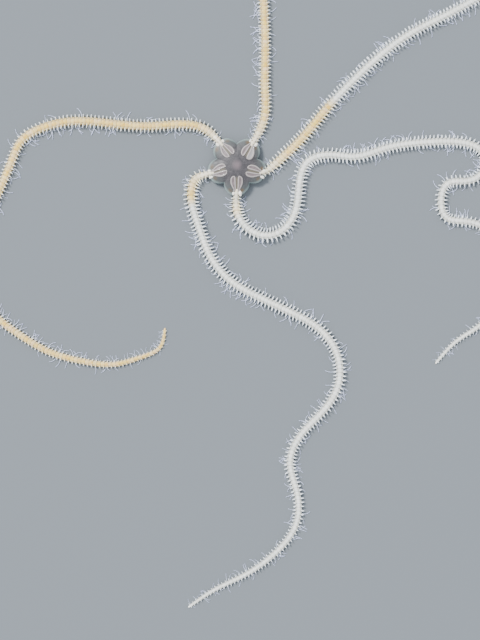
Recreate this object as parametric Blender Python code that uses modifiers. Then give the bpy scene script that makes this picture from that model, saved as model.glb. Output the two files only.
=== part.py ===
"""Brittle star: a naked-skinned, long-armed burrowing brittle star, life size.

A small lobed disc carries five pairs of radial shields and five very long arms
that lie on the floor in loose curves. The origin is the middle of the mouth
frame on the floor, +Z is up and the disc's back faces up.
"""
import math
import random

import bmesh
import bpy
import numpy as np
from mathutils import Matrix, Vector

MM = 0.001
GAP = 0.3 * MM

# Disc
DISC_LOBE = 7.5 * MM
DISC_NOTCH = 5.4 * MM
DISC_STEPS = 80
DISC_PROFILE = (
    (0.0, 3.0), (0.35, 2.9), (0.62, 2.6), (0.85, 2.2), (0.96, 1.85), (1.0, 1.45),
    (0.97, 0.9), (0.85, 0.45), (0.5, 0.35), (0.0, 0.35),
)
LOBE_SPREAD = math.radians(36)
LOBE_FLATNESS = 2.2

# Radial shields, in pairs over each arm
SHIELD_LENGTH = 4.0 * MM
SHIELD_WIDTH = 1.4 * MM
SHIELD_INNER_R = 2.65 * MM
SHIELD_SLIT = 0.5 * MM
SHIELD_TILT = math.radians(12)
SHIELD_SPLAY = math.radians(2.5)
SHIELD_TOP_Z = 3.12 * MM
SHIELD_THICK = 0.7 * MM
SHIELD_BEVEL = 0.12 * MM

# Mouth frame
MOUTH_R = 2.2 * MM
MOUTH_H = 1.2 * MM
MOUTH_SIDES = 10
GROOVE_INNER_R = 0.4 * MM
GROOVE_OUTER_R = 1.6 * MM
GROOVE_WIDTH = 0.35 * MM
GROOVE_DEPTH = 0.5 * MM

# Arms
ARM_BASE_W = 1.4 * MM
ARM_FULL_W = 1.8 * MM
ARM_TIP_W = 0.6 * MM
ARM_SWELL_FROM = 5.5 * MM
ARM_SWELL_TO = 9.0 * MM
ARM_HEIGHT = 0.63
ARM_LENGTHS = 9
ARM_START_R = MOUTH_R * math.cos(math.pi / MOUTH_SIDES) + GAP
ARM_UNDER_DISC_RADII = (4.0 * MM, 5.8 * MM)
ARM_TURNING_STEP = 0.5 * MM
ARM_STATION_SHORTEST = 1.1 * MM
ARM_STATION_LONGEST = 3.6 * MM
ARM_STATION_TURN = 0.38
ARM_SQUARE_END_TURNING = 30.0
PARTING_SEARCH = 4.0 * MM
PARTING_STEPS = 16
# Half of the arm's section in widths: across and up
ARM_SECTION = ((0.42, 0.0), (0.5, 0.38), (0.25, ARM_HEIGHT))

# Channels for the arms under the disc
CHANNEL_INNER = -1.0 * MM
CHANNEL_OUTER = 9.0 * MM
CHANNEL_DEPTH = 0.7

# Arm spines
SPINE_PITCH = 1.2 * MM
SPINE_FIRST = 6.4 * MM
SPINE_REACH = 0.54
SPINE_RADIUS = 0.18
SPINE_MIN_RADIUS = 0.27 * MM
SPINE_SUNK = 0.25 * MM
SPINE_END_MARGIN = 0.9 * MM
SPINE_HEADING_STEP = 0.2 * MM
SPINE_SWEEP = math.radians(12)
SPINE_SWEEP_VARY = math.radians(6)
SPINE_LOWEST = 0.16 * MM
SPINE_LOW_Z = 0.22
SPINE_HIGH_Z = 0.47
SPINE_HIGH_TILT = math.radians(30)

# Direction in which each arm leaves the disc, degrees from +X, and the places
# that it passes on the floor after that, in millimetres
ARMS = {
    "arm_1": (54, [
        (5.5, 8.35), (7.0, 12.7), (7.0, 19), (7.05, 26.5), (7.0, 34), (6.8, 39), (6.3, 44.5),
        (3.3, 52), (-3.7, 56.5), (-12.7, 56), (-20.5, 51), (-29.2, 49), (-38.2, 53.5),
        (-46.2, 61), (-55.5, 63.5), (-64.2, 59.5), (-68.7, 52.7)]),
    "arm_2": (-18, [
        (9.7, 0.5), (16.5, 7.1), (22.5, 14.3), (28.7, 20.9), (35.9, 27.6), (43, 32.8),
        (54.4, 38.7), (62, 42.7), (70.8, 44.5), (78.3, 40.2), (81.3, 32), (79.8, 22.7),
        (77, 14), (77.8, 4.5), (82, -3.5), (83.8, -12.3)]),
    "arm_3": (-90, [
        (0.1, -11.75), (3.4, -16.1), (7.9, -17.4), (12, -15.6), (14.75, -10.9), (15.6, -4.7),
        (17.7, 1.0), (22.85, 2.75), (29.45, 2.3), (37.1, 4.4), (45.8, 5.8), (52, 6.1),
        (57, 5.7), (60.8, 4), (62.3, 0.7), (60.5, -2.5), (57.2, -3.8), (52.85, -4.3),
        (51, -8.55), (52.4, -12.9), (57, -13.85), (62, -15.5), (65.8, -20.5), (66.5, -27.3),
        (65, -34), (60.8, -39.8), (55.3, -43.5), (50, -49)]),
    "arm_4": (-162, [
        (-10.05, -3.1), (-11.4, -7.6), (-9.7, -14.7), (-6.7, -22.5), (-0.95, -29.15),
        (6.2, -33.1), (13.55, -36.6), (20.3, -40.5), (24.8, -46.5), (25.3, -54.8),
        (21.3, -61.5), (15.8, -67.5), (13.3, -74), (15, -81.5), (14.8, -89.5), (9.8, -96.5),
        (2.3, -102), (-5.7, -106), (-11.7, -110)]),
    "arm_5": (126, [
        (-8.4, 9.4), (-14.15, 10.4), (-21.7, 9.95), (-31.6, 10.6), (-40.5, 11.2),
        (-48.35, 9.6), (-53.8, 6.2), (-56.1, 1.5), (-58.7, -4.8), (-61.7, -11.5),
        (-64.7, -18.5), (-65.7, -25.5), (-63.7, -32.5), (-60.2, -37.5), (-54.5, -42.0),
        (-46.7, -46.5), (-38.5, -48.8), (-30.2, -49.5), (-24, -47.8), (-19.2, -45.3),
        (-18, -41)]),
}
# Arms whose plates stay cream to the tip, and how many lengths are cream elsewhere
CREAM_LENGTHS = {"arm_1": 9, "arm_2": 2, "arm_3": 0, "arm_4": 0, "arm_5": 9}


def clear_scene():
    for old in list(bpy.data.objects):
        bpy.data.objects.remove(old, do_unlink=True)


def new_collection(name):
    collection = bpy.data.collections.new(name)
    bpy.context.scene.collection.children.link(collection)
    return collection


def principled(name, color, roughness):
    material = bpy.data.materials.new(name)
    material.use_nodes = True
    shader = material.node_tree.nodes["Principled BSDF"]
    shader.inputs["Base Color"].default_value = (*color, 1.0)
    shader.inputs["Roughness"].default_value = roughness
    shader.inputs["Metallic"].default_value = 0.0
    return material


def link_mesh(name, mesh, collection):
    piece = bpy.data.objects.new(name, mesh)
    collection.objects.link(piece)
    return piece


def from_bmesh(name, bm, collection):
    mesh = bpy.data.meshes.new(name)
    bm.to_mesh(mesh)
    bm.free()
    return link_mesh(name, mesh, collection)


def curve_to_mesh(curve_object, collection):
    """Make a curve a closed mesh object of the same name and place."""
    bpy.context.view_layer.update()
    evaluated = curve_object.evaluated_get(bpy.context.evaluated_depsgraph_get())
    mesh = bpy.data.meshes.new_from_object(evaluated)
    bm = bmesh.new()
    bm.from_mesh(mesh)
    bmesh.ops.remove_doubles(bm, verts=bm.verts, dist=0.001 * MM)
    bmesh.ops.recalc_face_normals(bm, faces=bm.faces)
    bm.to_mesh(mesh)
    bm.free()
    name = curve_object.name
    matrix = curve_object.matrix_world.copy()
    bpy.data.objects.remove(curve_object, do_unlink=True)
    piece = link_mesh(name, mesh, collection)
    piece.matrix_world = matrix
    return piece


def poly_curve(name, points, radii, cyclic, dimensions, collection):
    curve = bpy.data.curves.new(name, "CURVE")
    curve.dimensions = dimensions
    spline = curve.splines.new("POLY")
    spline.points.add(len(points) - 1)
    for spot, point, radius in zip(spline.points, points, radii):
        spot.co = (*point, 1.0)
        spot.radius = radius
    spline.use_cyclic_u = cyclic
    piece = bpy.data.objects.new(name, curve)
    collection.objects.link(piece)
    return piece


def apply_modifiers(piece):
    bpy.context.view_layer.update()
    evaluated = piece.evaluated_get(bpy.context.evaluated_depsgraph_get())
    mesh = bpy.data.meshes.new_from_object(evaluated)
    piece.modifiers.clear()
    piece.data = mesh


def keep_largest_surface(piece):
    bm = bmesh.new()
    bm.from_mesh(piece.data)
    todo = set(bm.faces)
    shells = []
    while todo:
        seed = todo.pop()
        shell = {seed}
        border = [seed]
        while border:
            for edge in border.pop().edges:
                for face in edge.link_faces:
                    if face not in shell:
                        shell.add(face)
                        border.append(face)
        todo -= shell
        shells.append(shell)
    largest = max(shells, key=lambda shell: sum(face.calc_area() for face in shell))
    scraps = [face for face in bm.faces if face not in largest]
    bmesh.ops.delete(bm, geom=scraps, context="FACES")
    bm.to_mesh(piece.data)
    bm.free()


def combine(piece, operation, tools):
    """Fuse the pieces of a collection to a piece, or cut them out of it."""
    boolean = piece.modifiers.new("Boolean", "BOOLEAN")
    boolean.operation = operation
    boolean.operand_type = "COLLECTION"
    boolean.collection = tools
    boolean.solver = "EXACT"
    apply_modifiers(piece)
    keep_largest_surface(piece)


def clear_collection(collection):
    for old in list(collection.objects):
        bpy.data.objects.remove(old, do_unlink=True)


def along(angle, radius):
    return math.cos(angle) * radius, math.sin(angle) * radius


def smooth_route(places):
    """Natural cubic spline through places: returns their distances and a reader."""
    knots = np.array(places)
    chord = np.hypot(*np.diff(knots, axis=0).T)
    stations = np.concatenate(([0.0], np.cumsum(chord)))
    count = len(knots)
    system = np.eye(count)
    bend = np.zeros((count, 2))
    for i in range(1, count - 1):
        before, after = chord[i - 1], chord[i]
        system[i, i - 1:i + 2] = before, 2 * (before + after), after
        bend[i] = 6 * ((knots[i + 1] - knots[i]) / after - (knots[i] - knots[i - 1]) / before)
    curvature = np.linalg.solve(system, bend)

    def read(distance):
        i = min(max(int(np.searchsorted(stations, distance)) - 1, 0), count - 2)
        span = chord[i]
        ahead = (stations[i + 1] - distance) / span
        done = (distance - stations[i]) / span
        curved = (ahead ** 3 - ahead) * curvature[i] + (done ** 3 - done) * curvature[i + 1]
        spot = ahead * knots[i] + done * knots[i + 1] + curved * span * span / 6
        return Vector((spot[0], spot[1], 0.0))

    return stations[-1], read


def arm_route(angle, places):
    """Route of one arm on the floor from the mouth frame to the tip."""
    leaving = math.radians(angle)
    under_disc = [along(leaving, radius) for radius in (ARM_START_R, *ARM_UNDER_DISC_RADII)]
    outside = [(x * MM, y * MM) for x, y in places]
    return smooth_route(under_disc + outside)


def arm_width(distance, total):
    swell = min(max((distance - ARM_SWELL_FROM) / (ARM_SWELL_TO - ARM_SWELL_FROM), 0.0), 1.0)
    full = ARM_BASE_W + (ARM_FULL_W - ARM_BASE_W) * swell * swell * (3 - 2 * swell)
    taper = (1 - (distance / total) ** 4) ** 0.75
    return ARM_TIP_W + (full - ARM_TIP_W) * taper


def turning(route, distance):
    """How fast a route turns at a distance, in radians per metre."""
    before = route(distance) - route(distance - ARM_TURNING_STEP)
    after = route(distance + ARM_TURNING_STEP) - route(distance)
    return before.angle(after) / ARM_TURNING_STEP


def stations(route, start, end):
    """Distances of a sweep's sections, closer together where the route bends."""
    distances = [start]
    while True:
        bend = max(turning(route, distances[-1] + ARM_TURNING_STEP), 1.0)
        step = min(max(ARM_STATION_TURN / bend, ARM_STATION_SHORTEST), ARM_STATION_LONGEST)
        if distances[-1] + 1.5 * step > end:
            break
        distances.append(distances[-1] + step)
    if turning(route, start) > ARM_SQUARE_END_TURNING:
        distances.insert(1, start + GAP)
    if turning(route, end) > ARM_SQUARE_END_TURNING:
        distances.append(end - GAP)
    return distances + [end]


def partings(route, total):
    """Distances where an arm is parted: the straightest place near each even share."""
    places = []
    for index in range(1, ARM_LENGTHS):
        even = total * index / ARM_LENGTHS
        tries = [even + PARTING_SEARCH * (2 * i / PARTING_STEPS - 1) for i in range(PARTING_STEPS + 1)]
        places.append(min(tries, key=lambda distance: turning(route, distance)))
    return places


def sweep(name, route, start, end, total, section, collection):
    """Closed tube of a section, given in arm widths, along a stretch of a route."""
    distances = stations(route, start, end)
    points = [route(distance) for distance in distances]
    radii = [arm_width(distance, total) for distance in distances]
    outline = [(across, up, 0.0) for across, up in section]
    outline += [(-across, up, 0.0) for across, up in reversed(section)]
    profile = poly_curve(name + "_section", outline, [1.0] * len(outline), True, "2D", collection)
    path = poly_curve(name, points, radii, False, "3D", collection)
    path.data.twist_mode = "Z_UP"
    path.data.bevel_mode = "OBJECT"
    path.data.bevel_object = profile
    path.data.use_fill_caps = True
    tube = curve_to_mesh(path, collection)
    bpy.data.objects.remove(profile, do_unlink=True)
    return tube


def add_spine(name, route, distance, total, side, high, rng, collection):
    """One three-sided spine that stands out from the side of the arm."""
    width = arm_width(distance, total)
    radius = max(SPINE_RADIUS * width, SPINE_MIN_RADIUS)
    reach = SPINE_REACH * width + SPINE_SUNK
    ahead = route(min(distance + SPINE_HEADING_STEP, total))
    forward = (ahead - route(distance - SPINE_HEADING_STEP)).normalized()
    across = Vector((forward.y, -forward.x, 0.0)) * side
    sweep_angle = SPINE_SWEEP + rng.uniform(-SPINE_SWEEP_VARY, SPINE_SWEEP_VARY)
    tilt = SPINE_HIGH_TILT if high else 0.0
    aim = across * math.cos(sweep_angle) + forward * math.sin(sweep_angle)
    aim = aim * math.cos(tilt) + Vector((0.0, 0.0, math.sin(tilt)))
    root_z = max((SPINE_HIGH_Z if high else SPINE_LOW_Z) * width, SPINE_LOWEST + 0.5 * radius)
    root = route(distance) + across * (0.5 * width - SPINE_SUNK) + Vector((0.0, 0.0, root_z))
    bm = bmesh.new()
    bmesh.ops.create_cone(bm, cap_ends=True, segments=3, radius1=radius, radius2=0.0, depth=reach)
    level = aim.cross(Vector((0.0, 0.0, 1.0))).normalized()
    upright = level.cross(aim)
    turn = Matrix((level, upright, aim)).transposed().to_4x4()
    bm.transform(Matrix.Translation(root + aim * (reach / 2)) @ turn)
    return from_bmesh(name, bm, collection)


def build_arms(parts, scrap, materials):
    for arm, (angle, places) in ARMS.items():
        rng = random.Random(arm)
        total, route = arm_route(angle, places)
        limits = [-GAP / 2] + partings(route, total) + [total + GAP / 2]
        for index in range(ARM_LENGTHS):
            start = limits[index] + GAP / 2
            end = limits[index + 1] - GAP / 2
            name = f"{arm}_length_{index + 1}"
            length = sweep(name, route, start, end, total, ARM_SECTION, parts)
            count = int((end - start) / SPINE_PITCH)
            for i in range(count):
                distance = start + (i + 0.5) * (end - start) / count
                if distance < SPINE_FIRST or distance > end - SPINE_END_MARGIN:
                    continue
                for side in (-1, 1):
                    high = (i + (side > 0)) % 2 == 0
                    add_spine(f"spine_{i}_{side}", route, distance, total, side, high, rng, scrap)
            if scrap.objects:
                combine(length, "UNION", scrap)
                clear_collection(scrap)
            cream = index < CREAM_LENGTHS[arm]
            length.data.materials.append(materials["arm_cream" if cream else "arm_white"])


def build_mouth_frame(parts, scrap, materials):
    bm = bmesh.new()
    bmesh.ops.create_cone(bm, cap_ends=True, segments=MOUTH_SIDES, radius1=MOUTH_R,
                          radius2=MOUTH_R, depth=MOUTH_H)
    bmesh.ops.translate(bm, vec=(0, 0, MOUTH_H / 2), verts=bm.verts)
    frame = from_bmesh("mouth_frame", bm, parts)
    for arm, (angle, places) in ARMS.items():
        bm = bmesh.new()
        bmesh.ops.create_cube(bm, size=1.0)
        size = (GROOVE_OUTER_R - GROOVE_INNER_R, GROOVE_WIDTH, 2 * GROOVE_DEPTH)
        bmesh.ops.scale(bm, vec=size, verts=bm.verts)
        middle = (GROOVE_OUTER_R + GROOVE_INNER_R) / 2
        turn = Matrix.Rotation(math.radians(angle), 4, "Z")
        bm.transform(turn @ Matrix.Translation((middle, 0, 0)))
        from_bmesh(arm + "_groove", bm, scrap)
    combine(frame, "DIFFERENCE", scrap)
    clear_collection(scrap)
    frame.data.materials.append(materials["mouth_plates"])


def lobed_radius(angle):
    """Edge of the disc in a direction: a lobe at each arm, a notch between arms."""
    nearest = min(abs((angle - math.radians(arm_angle) + math.pi) % math.tau - math.pi)
                  for arm_angle, places in ARMS.values())
    bulge = 1 - min(nearest / LOBE_SPREAD, 1.0) ** LOBE_FLATNESS
    return DISC_NOTCH + (DISC_LOBE - DISC_NOTCH) * bulge


def build_disc_body(parts):
    profile = bpy.data.meshes.new("disc")
    count = len(DISC_PROFILE)
    vertices = [(fraction, 0.0, z * MM) for fraction, z in DISC_PROFILE]
    profile.from_pydata(vertices, [(i, i + 1) for i in range(count - 1)], [])
    disc = link_mesh("disc", profile, parts)
    screw = disc.modifiers.new("Screw", "SCREW")
    screw.axis = "Z"
    screw.steps = DISC_STEPS
    screw.render_steps = DISC_STEPS
    screw.use_merge_vertices = True
    screw.merge_threshold = 0.01 * MM
    apply_modifiers(disc)
    bm = bmesh.new()
    bm.from_mesh(disc.data)
    for vertex in bm.verts:
        fraction = math.hypot(vertex.co.x, vertex.co.y)
        angle = math.atan2(vertex.co.y, vertex.co.x)
        lobing = fraction * fraction
        edge = DISC_NOTCH + (lobed_radius(angle) - DISC_NOTCH) * lobing
        vertex.co.x *= edge
        vertex.co.y *= edge
    bmesh.ops.recalc_face_normals(bm, faces=bm.faces)
    bm.to_mesh(disc.data)
    bm.free()
    return disc


def add_shield(name, angle, side, collection):
    """Half-moon plate beside an arm's line, straight edge to the slit."""
    outline = [(0.0, 0.12), (0.0, 0.45), (0.12, 0.85), (0.35, 1.0), (0.6, 0.93), (0.82, 0.62),
               (0.97, 0.22), (1.0, 0.0), (0.5, 0.0), (0.08, 0.0)]
    points = [(x * SHIELD_LENGTH, side * y * SHIELD_WIDTH, 0.0) for x, y in outline]
    plate = poly_curve(name, points, [1.0] * len(points), True, "2D", collection)
    plate.data.fill_mode = "BOTH"
    plate.data.extrude = SHIELD_THICK / 2 - SHIELD_BEVEL
    plate.data.bevel_depth = SHIELD_BEVEL
    plate.data.bevel_resolution = 0
    plate.data.offset = -SHIELD_BEVEL
    slit = Matrix.Translation((0, side * SHIELD_SLIT / 2, 0))
    splay = Matrix.Rotation(-side * SHIELD_SPLAY, 4, "Z")
    tilt = Matrix.Rotation(SHIELD_TILT, 4, "Y")
    place = Matrix.Translation((SHIELD_INNER_R, 0, SHIELD_TOP_Z - SHIELD_THICK / 2))
    plate.matrix_world = Matrix.Rotation(angle, 4, "Z") @ place @ tilt @ slit @ splay
    return curve_to_mesh(plate, collection)


def add_channel(arm, angle, places, collection):
    """Space for an arm under the disc, the arm's own sweep and a gap wider."""
    total, route = arm_route(angle, places)
    room = GAP / ARM_BASE_W
    low, middle, high = ARM_SECTION
    wall = middle[0] + room
    section = ((wall, -CHANNEL_DEPTH), (wall, middle[1]), (high[0] + room, high[1] + room))
    return sweep(arm + "_channel", route, CHANNEL_INNER, CHANNEL_OUTER, total, section, collection)


def build_disc(parts, scrap, materials):
    disc = build_disc_body(parts)
    for arm, (angle, places) in ARMS.items():
        for side in (-1, 1):
            add_shield(f"{arm}_shield_{side}", math.radians(angle), side, scrap)
    combine(disc, "UNION", scrap)
    clear_collection(scrap)
    for arm, (angle, places) in ARMS.items():
        add_channel(arm, angle, places, scrap)
    combine(disc, "DIFFERENCE", scrap)
    clear_collection(scrap)
    bm = bmesh.new()
    recess_r = MOUTH_R + GAP / math.cos(math.pi / MOUTH_SIDES)
    bmesh.ops.create_cone(bm, cap_ends=True, segments=MOUTH_SIDES, radius1=recess_r,
                          radius2=recess_r, depth=2 * (MOUTH_H + GAP))
    from_bmesh("mouth_recess", bm, scrap)
    combine(disc, "DIFFERENCE", scrap)
    clear_collection(scrap)
    disc.data.materials.append(materials["disc_skin"])


def build_star():
    clear_scene()
    parts = new_collection("brittle_star")
    scrap = new_collection("scrap")
    materials = {
        "disc_skin": principled("disc_skin", (0.20, 0.19, 0.20), 0.45),
        "mouth_plates": principled("mouth_plates", (0.56, 0.44, 0.20), 0.5),
        "arm_cream": principled("arm_cream", (0.67, 0.56, 0.36), 0.5),
        "arm_white": principled("arm_white", (0.75, 0.74, 0.68), 0.5),
    }
    build_mouth_frame(parts, scrap, materials)
    build_disc(parts, scrap, materials)
    build_arms(parts, scrap, materials)
    bpy.data.collections.remove(scrap)


build_star()
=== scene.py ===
"""The looks of a life-size brittle star model: skin, shields, mouth, arm plates, spines and tube feet."""
import math
import random

import bpy
import numpy as np
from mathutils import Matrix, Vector, noise


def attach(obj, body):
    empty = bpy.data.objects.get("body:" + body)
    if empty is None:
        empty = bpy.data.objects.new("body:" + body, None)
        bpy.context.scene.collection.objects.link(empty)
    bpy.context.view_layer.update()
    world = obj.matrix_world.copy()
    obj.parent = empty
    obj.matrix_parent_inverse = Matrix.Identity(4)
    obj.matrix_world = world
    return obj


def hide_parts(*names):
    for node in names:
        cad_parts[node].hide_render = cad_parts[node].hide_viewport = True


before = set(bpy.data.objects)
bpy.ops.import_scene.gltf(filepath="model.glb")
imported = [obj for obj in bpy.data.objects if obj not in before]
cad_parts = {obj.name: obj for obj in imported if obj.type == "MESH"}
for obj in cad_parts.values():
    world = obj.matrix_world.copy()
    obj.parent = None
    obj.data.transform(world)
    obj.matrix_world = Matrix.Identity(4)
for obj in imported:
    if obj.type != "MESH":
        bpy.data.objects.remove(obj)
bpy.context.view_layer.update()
bpy.ops.object.select_all(action="DESELECT")
mm = 0.001


# Camera: the picture is taken straight from above. Its frame holds 120 by 160 mm
# of floor, with the disc above the middle, and cuts off the ends of the arms.
view_height = 160 * mm
view_centre = Vector((0.8 * mm, -38.5 * mm, 0))
nearest_seen = 10 * mm
lens_length = 100
sensor_height = 36
stand_off = view_height * lens_length / sensor_height
bpy.ops.object.camera_add(location=view_centre + Vector((0, 0, stand_off)), rotation=(0, 0, 0))
camera = bpy.context.object
camera.name = "camera_above"
camera.data.lens = lens_length
camera.data.sensor_width = sensor_height
camera.data.clip_start = nearest_seen
bpy.context.scene.camera = camera


# Light: one wide studio lamp at the upper left, so that the spines and shields
# throw small soft shadows, in a bright, plain room.
key_from = Vector((-0.28, 0.24, 0.41))
key_strength = 6.05
key_spread = math.radians(16)
room_color = (0.86, 0.92, 1.0, 1)
room_strength = 1.6
bpy.ops.object.light_add(type="SUN", location=key_from)
key_light = bpy.context.object
key_light.name = "key_light"
key_light.data.energy = key_strength
key_light.data.angle = key_spread
key_light.rotation_euler = key_from.to_track_quat("Z", "Y").to_euler()
room = bpy.data.worlds.new("room")
room.use_nodes = True
room.node_tree.nodes["Background"].inputs["Color"].default_value = room_color
room.node_tree.nodes["Background"].inputs["Strength"].default_value = room_strength
bpy.context.scene.world = room


# Floor: a plain pale blue-grey sheet, a little darker than the arms so that
# white spines stand out against it.
floor_side = 8
floor_level = -0.02 * mm
floor_color = (0.136, 0.151, 0.164, 1)
floor_roughness = 0.8


def new_finish(name, roughness):
    finish = bpy.data.materials.new(name)
    finish.use_nodes = True
    shader = finish.node_tree.nodes["Principled BSDF"]
    shader.inputs["Roughness"].default_value = roughness
    return finish, finish.node_tree, shader


floor_finish, tree, shader = new_finish("pale_floor", floor_roughness)
shader.inputs["Base Color"].default_value = floor_color
bpy.ops.mesh.primitive_plane_add(size=floor_side, location=(0, 0, floor_level))
floor = bpy.context.object
floor.name = "floor"
floor.data.materials.append(floor_finish)


# Disc: one thin, naked skin, swollen into a lobe over each arm's base and drawn
# in to a notch between arms. It is grey, finely grained and wet, with a pale
# margin and rusty spots beside the places where the arms leave it.
arm_bearings = {"arm_1": 54, "arm_2": -18, "arm_3": -90, "arm_4": -162, "arm_5": 126}
lobe_reach = 7.5 * mm
notch_reach = 5.4 * mm
lobe_half_angle = math.radians(36)
lobe_squareness = 2.2
# Waves of the edge: how many go round the disc, where they start and how high they are
edge_waves = ((3, 1.0, 0.07 * mm), (7, 2.0, 0.049 * mm), (17, 0.0, 0.035 * mm))
margin_level = 1.45 * mm
back_level = 3.0 * mm
back_fullness = 1.1
belly_level = 0.35 * mm
belly_fullness = 2.5
mouth_roof_level = 1.0 * mm
mouth_roof_from = 2.4 * mm
mouth_roof_to = 1.9 * mm
fold_softness = 1.0
fold_step = 2.0
fold_size = 1.3 * mm
fold_height = 0.05 * mm
edge_folds = 0.3
wrinkle_size = 0.55 * mm
wrinkle_height = 0.10 * mm
belly_from = 2 / 3
slit_from = 3.1 * mm
slit_to = 4.7 * mm
slit_offset = 1.0 * mm
slit_bow = 0.16 * mm
slit_width = 0.10 * mm
slit_depth = 0.22 * mm
slit_crispness = 1.5
lip_offset = 0.24 * mm
lip_height = 0.08 * mm
shield_inner_reach = 2.62 * mm
shield_length = 4.0 * mm
# How far the inner ends of each pair of shields lie aside of their arm's line
shield_lean = {"arm_1": 0.50 * mm, "arm_2": 0.42 * mm, "arm_3": 0.0, "arm_4": 0.05 * mm, "arm_5": 0.30 * mm}
groove_width = 0.28 * mm
# Where each tinge of the skin starts and where it is full
groove_tinge = (2.7 * mm, 3.5 * mm)
lobe_tinge = (4.2 * mm, 6.4 * mm)
lobe_strength = 0.625
centre_tinge = (1.5 * mm, 0.3 * mm)
margin_tinge = (0.925, 0.995)
margin_crispness = 1.3
disc_seed = 4
spot_reach = 6.6 * mm
spot_reach_scatter = (-0.3 * mm, 0.2 * mm)
spot_offset = 12
spot_offset_scatter = (-3, 4)
spot_size = 0.85 * mm
spot_sizes = (0.7, 1.15)
spot_strengths = (0.6, 1)
spot_crispness = 0.7
skin_roughness = 0.55
skin_dark = (0.025, 0.022, 0.025)
skin_light = (0.047, 0.041, 0.045)
skin_grain = (1100, 5600, 0.000022)
grain_color = (0.102, 0.095, 0.100)
grain_range = (0.45, 0.0)
tinges_under_grain = {"lobe": (0.069, 0.086, 0.081), "centre": (0.118, 0.086, 0.095),
                      "under": (0.137, 0.157, 0.155), "lip": (0.237, 0.237, 0.223)}
# The slit tinge, nearly black, is painted shade in the slits under the disc
tinges_over_grain = {"groove": (0.118, 0.100, 0.067), "spot": (0.096, 0.055, 0.020),
                     "margin": (0.187, 0.241, 0.235), "painted_slit_shade": (0.014, 0.011, 0.011)}
skin_wetness = 0.06
wetness_roughness = 0.25


def ramp(value, start, end):
    """0 at the start of a range, 1 at its end, and level beyond both."""
    return np.clip((value - start) / (end - start), 0, 1)


def eased(share):
    """A share from 0 to 1 that leaves and arrives softly."""
    return share ** 2 * (3 - 2 * share)


def turned(x, y, turn):
    """Places on the floor turned about the middle of the disc."""
    return x * math.cos(turn) - y * math.sin(turn), x * math.sin(turn) + y * math.cos(turn)


def disc_edge(bearing):
    nearest = np.full_like(bearing, math.pi)
    for degrees in arm_bearings.values():
        away = np.abs((bearing - math.radians(degrees) + math.pi) % math.tau - math.pi)
        nearest = np.minimum(nearest, away)
    bulge = 1 - np.minimum(nearest / lobe_half_angle, 1) ** lobe_squareness
    waves = sum(height * np.sin(count * bearing + start) for count, start, height in edge_waves)
    return notch_reach + (lobe_reach - notch_reach) * bulge + waves


def skin_level(x, y):
    """Height of the disc's back over places on the floor."""
    reach = np.hypot(x, y)
    swell = disc_edge(np.arctan2(y, x)) - notch_reach
    share = reach / (notch_reach + swell)
    # Each guess comes nearer to the share of the way to the edge at which the skin lies
    for guess in range(6):
        guessed_reach = share * (notch_reach + swell * share ** 2)
        share -= (guessed_reach - reach) / (notch_reach + 3 * swell * share ** 2)
    flatness = 1 - np.clip(share, 0, 1) ** 2
    return margin_level + (back_level - margin_level) * flatness ** (back_fullness / 2)


def crumpled(points, size, octaves):
    return np.array([noise.fractal(Vector(point) / size, fold_softness, fold_step, octaves)
                     for point in points])


def set_mask(piece, name, values):
    mask = piece.data.attributes.new(name, "FLOAT", "POINT")
    mask.data.foreach_set("value", np.asarray(values, np.float32).ravel())


def points_of(piece):
    points = np.empty(len(piece.data.vertices) * 3)
    piece.data.vertices.foreach_get("co", points)
    return points.reshape(-1, 3)


def put_points(piece, points):
    piece.data.vertices.foreach_set("co", np.asarray(points).ravel())
    piece.data.update()


bpy.ops.mesh.primitive_uv_sphere_add(segments=320, ring_count=110, radius=1)
disc_skin = bpy.context.object
disc_skin.name = "disc_skin"
ball = points_of(disc_skin)
above, under = ball[:, 2] > 0, ball[:, 2] < 0
share = np.hypot(ball[:, 0], ball[:, 1])
bearing = np.arctan2(ball[:, 1], ball[:, 0])
steep = np.abs(ball[:, 2])
off_edge = ramp(steep, 0, belly_from)
reach = share * (notch_reach + (disc_edge(bearing) - notch_reach) * share ** 2)
back = margin_level + (back_level - margin_level) * steep ** back_fullness
belly = margin_level - (margin_level - belly_level) * (1 - (1 - steep) ** belly_fullness)
roof = ramp(reach, mouth_roof_from, mouth_roof_to)
belly += (mouth_roof_level - belly_level) * eased(roof)
skin = np.stack([reach * np.cos(bearing), reach * np.sin(bearing), np.where(above, back, belly)], axis=1)
folds = crumpled(skin, fold_size, octaves=4)
wrinkles = crumpled(skin, wrinkle_size, octaves=3)
skin[:, 2] += fold_height * folds * (edge_folds + (1 - edge_folds) * steep)
skin[:, 2] += wrinkle_height * wrinkles * under * off_edge * (1 - roof)
slits = np.zeros(len(skin))
lip_marks = np.zeros(len(skin))
grooves = np.zeros(len(skin))
for arm, degrees in arm_bearings.items():
    out, aside = turned(skin[:, 0], skin[:, 1], -math.radians(degrees))
    leaning = shield_lean[arm] * (1 - (out - shield_inner_reach) / shield_length)
    between = np.exp(-((aside + leaning) / groove_width) ** 2) * ramp(out, *groove_tinge)
    grooves = np.maximum(grooves, between * above)
    past = np.maximum(np.maximum(slit_from - out, out - slit_to), 0)
    bowed = slit_offset + slit_bow * np.sin((out - slit_from) / (slit_to - slit_from) * math.pi)
    away = np.hypot(past, np.abs(aside) - bowed)
    slits = np.maximum(slits, np.exp(-(away / slit_width) ** 2) * under)
    lips = np.exp(-((away - lip_offset) / slit_width) ** 2) * under * (out > 0)
    skin[:, 2] -= lip_height * lips
    lip_marks = np.maximum(lip_marks, lips)
skin[:, 2] += slit_depth * slits
put_points(disc_skin, skin)
bpy.ops.object.shade_smooth()

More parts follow.
